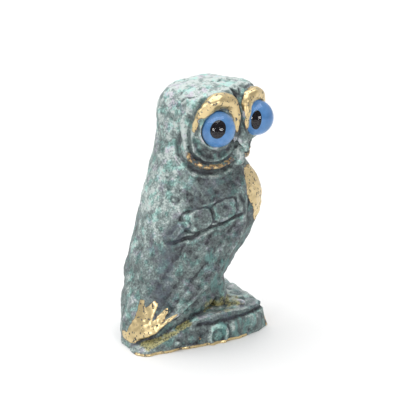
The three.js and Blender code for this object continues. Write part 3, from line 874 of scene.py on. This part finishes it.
# The crust's colours from its darkest to its palest, with their places on the ramp
CRUST = (
    (0.00, (0.016, 0.019, 0.022)),
    (0.25, (0.048, 0.056, 0.061)),
    (0.50, (0.108, 0.136, 0.134)),
    (0.70, (0.180, 0.230, 0.223)),
    (0.85, (0.290, 0.355, 0.340)),
    (1.00, (0.500, 0.560, 0.540)),
)


def crust_ramp(tree, tone):
    node = wired(tree, "ShaderNodeValToRGB", {"Fac": tone})
    stops = node.color_ramp.elements
    while len(stops) < len(CRUST):
        stops.new(0.5)
    for stop, (place, colour) in zip(stops, CRUST):
        stop.position = place
        stop.color = (*colour, 1)
    return node.outputs["Color"]


def weighted(tree, start, *terms):
    """A plain number plus the sum of values times their weights"""
    total = start
    for value, weight in terms:
        total = wired(tree, "ShaderNodeMath", {0: value, 1: weight, 2: total}, {"operation": "MULTIPLY_ADD"}).outputs[0]
    return total


def streaked(tree, place):
    """Coordinates drawn out along the flight feathers"""
    inputs = {"Vector": place, "Rotation": (0, math.radians(-38), 0), "Scale": (1, 1, 0.28)}
    return wired(tree, "ShaderNodeMapping", inputs).outputs[0]


def patinated_metal(sizes):
    """Bronze under a mottled green-grey crust, bright brass where it is rubbed, moss in the crevices, with painted
    light on the back and on what faces up and painted shade behind the wing
    """
    material, tree, shader = new_material("patinated_bronze")
    place = wired(tree, "ShaderNodeTexCoord").outputs["Object"]
    hollow, polish, moss = (attribute(tree, name) for name in ("hollow", "polish", "moss"))
    pale, teal, navy_and_painted_shade = (attribute(tree, name) for name in ("pale", "teal", "navy_and_painted_shade"))
    deep = spread_out(tree, hollow, 0.08, 0.8)
    raised = spread_out(tree, hollow, -0.08, -0.8)

    clouds = noise(tree, place, 260, 3, 0.5)
    blotches = noise(tree, place, 850, 3, 0.6, 0.3)
    specks = noise(tree, place, 3000, 2, 0.6)
    streaks = noise(tree, streaked(tree, place), 900, 3, 0.6)

    patches = noise(tree, place, 420, 4, 0.6, 0.6)
    # Painted light and shade in the tone: pale lightens the back and what faces up, and the blue-black attribute
    # darkens the valley behind the wing
    tone = weighted(tree, -1.05, (clouds, 0.55), (patches, 0.75), (blotches, 0.85), (specks, 0.95), (pale, 0.4),
                    (deep, -0.3), (raised, 0.18), (navy_and_painted_shade, -0.14))
    colour = crust_ramp(tree, tone)
    greener = calc(tree, "MULTIPLY", spread_out(tree, noise(tree, place, 640, 3, 0.6), 0.50, 0.62), 0.8)
    colour = mixed(tree, greener, colour, (0.74, 1.12, 1.06), "MULTIPLY")
    purpler = calc(tree, "MULTIPLY", spread_out(tree, noise(tree, place, 560, 3, 0.6), 0.46, 0.34), 0.8)
    colour = mixed(tree, purpler, colour, (1.06, 0.88, 1.04), "MULTIPLY")
    flecks = spread_out(tree, noise(tree, place, 2400, 2, 0.6, 1.0), 0.36, 0.29)
    colour = mixed(tree, calc(tree, "MULTIPLY", flecks, 0.75), colour, (0.022, 0.026, 0.030))
    teal_here = spread_out(tree, weighted(tree, 0.0, (teal, 0.3), (streaks, 1.0)), 0.78, 0.95)
    colour = mixed(tree, calc(tree, "MULTIPLY", teal_here, 0.65), colour, (0.130, 0.290, 0.275))
    # Painted shade: the blue-black laid behind the wing's rear edge, with blue-black crust under the face and along the
    # base's edge
    navy_and_shade_here = spread_out(tree, weighted(tree, 0.0, (navy_and_painted_shade, 0.35), (blotches, 0.9)), 0.62, 0.90)
    colour = mixed(tree, calc(tree, "MULTIPLY", navy_and_shade_here, 0.6), colour, (0.060, 0.068, 0.098))
    moss_here = spread_out(tree, weighted(tree, 0.0, (moss, 0.7), (blotches, 0.9)), 0.80, 1.10)
    moss_tint = mixed(tree, spread_out(tree, specks, 0.38, 0.56), (0.085, 0.080, 0.025), (0.400, 0.360, 0.130))
    colour = mixed(tree, calc(tree, "MULTIPLY", moss_here, 0.85), colour, moss_tint)

    ragged = noise(tree, place, 1500, 4, 0.65)
    worn = weighted(tree, -0.85, (polish, 1.0), (ragged, 1.15), (clouds, 0.55), (deep, -0.45))
    pitted = spread_out(tree, noise(tree, place, 1900, 2, 0.5), 0.64, 0.59)
    bright = calc(tree, "MULTIPLY", spread_out(tree, worn, 0.46, 0.52), pitted)
    rim = calc(tree, "MULTIPLY", spread_out(tree, worn, 0.34, 0.46), 0.7)
    colour = mixed(tree, rim, colour, (0.070, 0.045, 0.035))
    metal_tint = mixed(tree, spread_out(tree, worn, 0.48, 0.72), (0.40, 0.25, 0.12), tuple(sizes.brass))
    colour = mixed(tree, bright, colour, metal_tint)
    tree.links.new(colour, shader.inputs["Base Color"])

    tree.links.new(calc(tree, "MULTIPLY", bright, 0.95), shader.inputs["Metallic"])
    tree.links.new(weighted(tree, 0.42, (specks, 0.25), (bright, -0.2)), shader.inputs["Roughness"])
    shader.inputs["Specular IOR Level"].default_value = 0.35

    grain = weighted(tree, 0.0, (specks, 0.5), (blotches, 0.5))
    height = calc(tree, "MULTIPLY", grain, weighted(tree, 1.0, (bright, -0.75)))
    raised_skin = wired(tree, "ShaderNodeBump", {"Height": height, "Strength": 0.8, "Distance": 0.14 * MILLIMETRE})
    tree.links.new(raised_skin.outputs[0], shader.inputs["Normal"])
    return material


def clear_glass():
    material, tree, shader = new_material("clear_glass")
    shader.inputs["Base Color"].default_value = (0.93, 0.97, 1.0, 1)
    shader.inputs["Transmission Weight"].default_value = 1.0
    shader.inputs["IOR"].default_value = 1.5
    place = wired(tree, "ShaderNodeTexCoord").outputs["Object"]
    smears = noise(tree, place, 700, 3)
    tree.links.new(calc(tree, "MULTIPLY", spread_out(tree, smears, 0.6, 0.8), 0.04), shader.inputs["Roughness"])
    return material


def iris_enamel(sizes):
    """Blue enamel, deeper towards the rim, with faint rays from the pupil"""
    material, tree, shader = new_material("iris_enamel")
    reach = attribute(tree, "reach")
    place = wired(tree, "ShaderNodeTexCoord").outputs["Object"]
    fibres = noise(tree, place, 1600, 3)
    blue = tuple(sizes.iris)
    pale = tuple(min(1, part * 1.5 + 0.05) for part in blue)
    deep = tuple(part * 0.45 for part in blue)
    colour = mixed(tree, calc(tree, "MULTIPLY", spread_out(tree, fibres, 0.35, 0.7), 0.35), blue, pale)
    colour = mixed(tree, spread_out(tree, reach, 0.8, 1.05), colour, deep)
    tree.links.new(colour, shader.inputs["Base Color"])
    shader.inputs["Roughness"].default_value = 0.5
    shader.inputs["Specular IOR Level"].default_value = 0.0
    return material


def pupil_enamel():
    material, tree, shader = new_material("pupil_enamel")
    place = wired(tree, "ShaderNodeTexCoord").outputs["Object"]
    tint = mixed(tree, noise(tree, place, 900), (0.004, 0.003, 0.005), (0.012, 0.008, 0.012))
    tree.links.new(tint, shader.inputs["Base Color"])
    shader.inputs["Roughness"].default_value = 0.5
    shader.inputs["Specular IOR Level"].default_value = 0.0
    return material


# Glass eyes

def eye_axes(side_sign):
    """The middle of an eye's widest part in millimetres, and its own three directions"""
    across = side_sign * EYE_APART
    splay = side_sign * EYE_SPLAY
    forward, sideways = np.array([*FORWARD, 0.0]), np.array([*ACROSS, 0.0])
    middle = across * sideways + EYE_FORWARD * forward + np.array([*HEAD_AT, EYE_HEIGHT])
    axis = math.sin(splay) * sideways + math.cos(splay) * forward
    up = np.array([0.0, 0.0, 1.0])
    return middle, axis, np.cross(up, axis), up


def turned(profile, side_sign, segments, drop):
    """A closed form of turning: the profile's (radius, distance along the axis) run from back pole to front pole"""
    middle, axis, sideways, up = eye_axes(side_sign)
    middle = middle - drop * up
    points = [middle + profile[0][1] * axis]
    for radius, along in profile[1:-1]:
        for k in range(segments):
            turn = 2 * math.pi * k / segments
            points.append(middle + along * axis + radius * (math.cos(turn) * sideways + math.sin(turn) * up))
    points.append(middle + profile[-1][1] * axis)
    rings = len(profile) - 2
    ring = lambda r, k: 1 + r * segments + k % segments
    faces = [(0, ring(0, k + 1), ring(0, k)) for k in range(segments)]
    for r in range(rings - 1):
        faces += [(ring(r, k), ring(r, k + 1), ring(r + 1, k + 1), ring(r + 1, k)) for k in range(segments)]
    faces += [(ring(rings - 1, k), ring(rings - 1, k + 1), len(points) - 1) for k in range(segments)]
    return np.array(points), faces


def turned_piece(name, profile, side_sign, segments=64, drop=0):
    points, faces = turned(profile, side_sign, segments, drop)
    mesh = bpy.data.meshes.new(name)
    mesh.from_pydata((points * MILLIMETRE).tolist(), [], faces)
    mesh.validate()
    mesh.polygons.foreach_set("use_smooth", np.ones(len(mesh.polygons), bool))
    piece = bpy.data.objects.new(name, mesh)
    bpy.context.scene.collection.objects.link(piece)
    return piece


def dome_profile(steps=36):
    """Glass: a shallow back, and a round dome in front of the widest part"""
    profile = []
    for k in range(steps + 1):
        t = -math.pi / 2 + math.pi * k / steps
        depth = EYE_BACK if t < 0 else EYE_RADIUS
        profile.append((EYE_RADIUS * math.cos(t), depth * math.sin(t)))
    return profile


def button_profile(radius, back, front, crown, steps=8):
    """A thin round button with a slightly crowned front"""
    face = [(radius * (1 - k / steps), front + crown * (1 - (1 - k / steps) ** 2)) for k in range(steps)]
    rear = [(radius * k / 3, back) for k in range(1, 4)]
    return [(0, back)] + rear + face + [(0, front + crown)]


def store_reach(piece, side_sign, radius):
    """How far each vertex lies from the eye's axis, as a share of the radius"""
    middle, axis, _, _ = eye_axes(side_sign)
    off = vertex_places(piece.data) / MILLIMETRE - middle
    off = off - (off @ axis)[:, None] * axis
    set_attribute(piece.data, "reach", np.linalg.norm(off, axis=1) / radius)


# Operators

class OWL_OT_casting(Operator):
    """Sculpts the casting finely and gives it its patina"""
    bl_idname = "owl.casting"
    bl_label = "Casting"

    def execute(self, context):
        sizes = context.scene.owl_casting
        cell = sizes.cell / MILLIMETRE * 1
        points, quads = sculpted(owl, cell)
        piece = new_piece("cast_owl", points, quads)
        mesh = piece.data
        if len(mesh.vertices) != len(points):
            raise RuntimeError("the casting's mesh lost vertices")
        normals = vertex_normals(mesh)
        set_attribute(mesh, "hollow", hollows(points, quads, normals))
        set_attribute(mesh, "polish", rubbed(points))
        set_attribute(mesh, "moss", mossy(points))
        # pale holds painted light on the back and on what faces up; the blue-black attribute holds painted shade behind
        # the wing
        set_attribute(mesh, "pale", pale_crust_and_painted_light(points, normals))
        set_attribute(mesh, "teal", tealness(points))
        set_attribute(mesh, "navy_and_painted_shade", navy_crust_and_painted_shade(points))
        metal = patinated_metal(sizes)
        with_cast_skin(piece, sizes, metal)
        kept_in_box(piece.data, *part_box(CASTING))
        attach(piece, "root")
        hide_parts(CASTING)
        return {"FINISHED"}


class OWL_OT_glass_eyes(Operator):
    """Makes the two clear glass eyes, each with its iris and pupil sealed in it"""
    bl_idname = "owl.glass_eyes"
    bl_label = "Glass eyes"

    def execute(self, context):
        sizes = context.scene.owl_eyes
        glass, enamel, black = clear_glass(), iris_enamel(sizes), pupil_enamel()
        iris_radius = sizes.iris_radius / MILLIMETRE
        pupil_radius = sizes.pupil_radius / MILLIMETRE
        for side, sign in EYES.items():
            dome = turned_piece(f"eye_dome_{side}", dome_profile(), sign)
            kept_in_box(dome.data, *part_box(f"glass_eye_{side}"))
            iris = turned_piece(f"iris_{side}", button_profile(iris_radius, -0.45, -0.18, 0.14), sign)
            drop = PUPIL_DROP if sign > 0 else 0
            pupil = turned_piece(f"pupil_{side}", button_profile(pupil_radius, -0.02, 0.03, 0.1), sign, drop=drop)
            store_reach(iris, sign, iris_radius)
            for piece, material in ((dome, glass), (iris, enamel), (pupil, black)):
                piece.data.materials.append(material)
                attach(piece, "root")
            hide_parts(f"glass_eye_{side}")
        return {"FINISHED"}


# The stage

CAMERA_TURN = math.radians(-28.4)
CAMERA_RISE = math.radians(18.1)
CAMERA_DISTANCE = 0.5
CAMERA_LENS = 265.5
VIEW_RIGHT = 2.678 * MILLIMETRE
VIEW_UP = 21.78 * MILLIMETRE


def camera_axes():
    """The picture's right, its up, and the way back to the camera"""
    right = np.array([math.cos(CAMERA_TURN), math.sin(CAMERA_TURN), 0.0])
    back = np.array([math.sin(CAMERA_TURN) * math.cos(CAMERA_RISE),
                     -math.cos(CAMERA_TURN) * math.cos(CAMERA_RISE), math.sin(CAMERA_RISE)])
    return right, np.cross(back, right), back


def facing(place, target):
    """A 4x4 matrix at the place whose -Z looks at the target"""
    from mathutils import Vector
    look = (Vector(target) - Vector(place)).normalized()
    matrix = look.to_track_quat("-Z", "Y").to_matrix().to_4x4()
    matrix.translation = place
    return matrix


def add_camera():
    right, up, back = camera_axes()
    target = right * VIEW_RIGHT + up * VIEW_UP
    lens = bpy.data.cameras.new("camera")
    lens.lens = CAMERA_LENS
    lens.sensor_width = 36
    lens.clip_start = 0.01
    camera = bpy.data.objects.new("camera", lens)
    camera.matrix_world = facing(target + back * CAMERA_DISTANCE, target)
    bpy.context.scene.collection.objects.link(camera)
    bpy.context.scene.camera = camera


def add_light(name, place, size, power, colour=(1, 1, 1)):
    lamp = bpy.data.lights.new(name, "AREA")
    lamp.shape = "SQUARE"
    lamp.size = size
    lamp.energy = power
    lamp.color = colour
    light = bpy.data.objects.new(name, lamp)
    light.matrix_world = facing(place, (0, 0, 0.02))
    bpy.context.scene.collection.objects.link(light)


def add_floor():
    half = 1.5
    mesh = bpy.data.meshes.new("floor")
    mesh.from_pydata([(-half, -half, 0), (half, -half, 0), (half, half, 0), (-half, half, 0)], [], [(0, 1, 2, 3)])
    floor = bpy.data.objects.new("floor", mesh)
    material, tree, shader = new_material("pale_floor")
    shader.inputs["Base Color"].default_value = (0.8, 0.8, 0.8, 1)
    shader.inputs["Roughness"].default_value = 0.6
    mesh.materials.append(material)
    bpy.context.scene.collection.objects.link(floor)


def add_pale_surroundings():
    """Soft light from all round, weaker from the side that the picture is taken from"""
    world = bpy.data.worlds.new("pale_surroundings")
    world.use_nodes = True
    tree = world.node_tree
    direction = wired(tree, "ShaderNodeTexCoord").outputs["Generated"]
    front = (math.sin(CAMERA_TURN), -math.cos(CAMERA_TURN), 0.0)
    facing_front = wired(tree, "ShaderNodeVectorMath", {0: direction, 1: front}, {"operation": "DOT_PRODUCT"})
    inputs = {"Value": facing_front.outputs["Value"], "From Min": -1.0, "To Min": 0.85, "To Max": 0.2}
    strength = wired(tree, "ShaderNodeMapRange", inputs).outputs[0]
    tree.links.new(strength, tree.nodes["Background"].inputs["Strength"])
    tree.nodes["Background"].inputs["Color"].default_value = (1, 1, 1, 1)
    bpy.context.scene.world = world


class OWL_OT_stage(Operator):
    """Lays the pale floor and sets up the soft lights and the camera"""
    bl_idname = "owl.stage"
    bl_label = "Stage"

    def execute(self, context):
        context.scene.view_settings.view_transform = "Standard"
        add_pale_surroundings()
        add_floor()
        add_camera()
        right, up, back = camera_axes()
        add_light("overhead", np.array([-0.06, 0.10, 0.55]), 0.8, 4.4)
        for side in (-1, 1):
            add_light(f"front_{side + 2}", back * 0.45 + right * 0.2 * side, 0.14, 0.5)
        return {"FINISHED"}


class OWL_PT_panel(Panel):
    """The sizes and the pieces of the owl"""
    bl_label = "Owl statue"
    bl_idname = "OWL_PT_panel"
    bl_space_type = "VIEW_3D"
    bl_region_type = "UI"
    bl_category = "Owl"

    def draw(self, context):
        for sizes in (context.scene.owl_casting, context.scene.owl_eyes):
            for name in sizes.__annotations__:
                self.layout.prop(sizes, name)
        for operator in PIECES:
            self.layout.operator(operator.bl_idname)


PIECES = (OWL_OT_casting, OWL_OT_glass_eyes, OWL_OT_stage)
CLASSES = (CastingSizes, EyeSizes, *PIECES, OWL_PT_panel)


def register():
    for cls in CLASSES:
        bpy.utils.register_class(cls)
    bpy.types.Scene.owl_casting = PointerProperty(type=CastingSizes)
    bpy.types.Scene.owl_eyes = PointerProperty(type=EyeSizes)


def unregister():
    del bpy.types.Scene.owl_eyes
    del bpy.types.Scene.owl_casting
    for cls in reversed(CLASSES):
        bpy.utils.unregister_class(cls)


def main():
    register()
    bpy.ops.owl.casting()
    bpy.ops.owl.glass_eyes()
    bpy.ops.owl.stage()


if __name__ == "__main__":
    main()
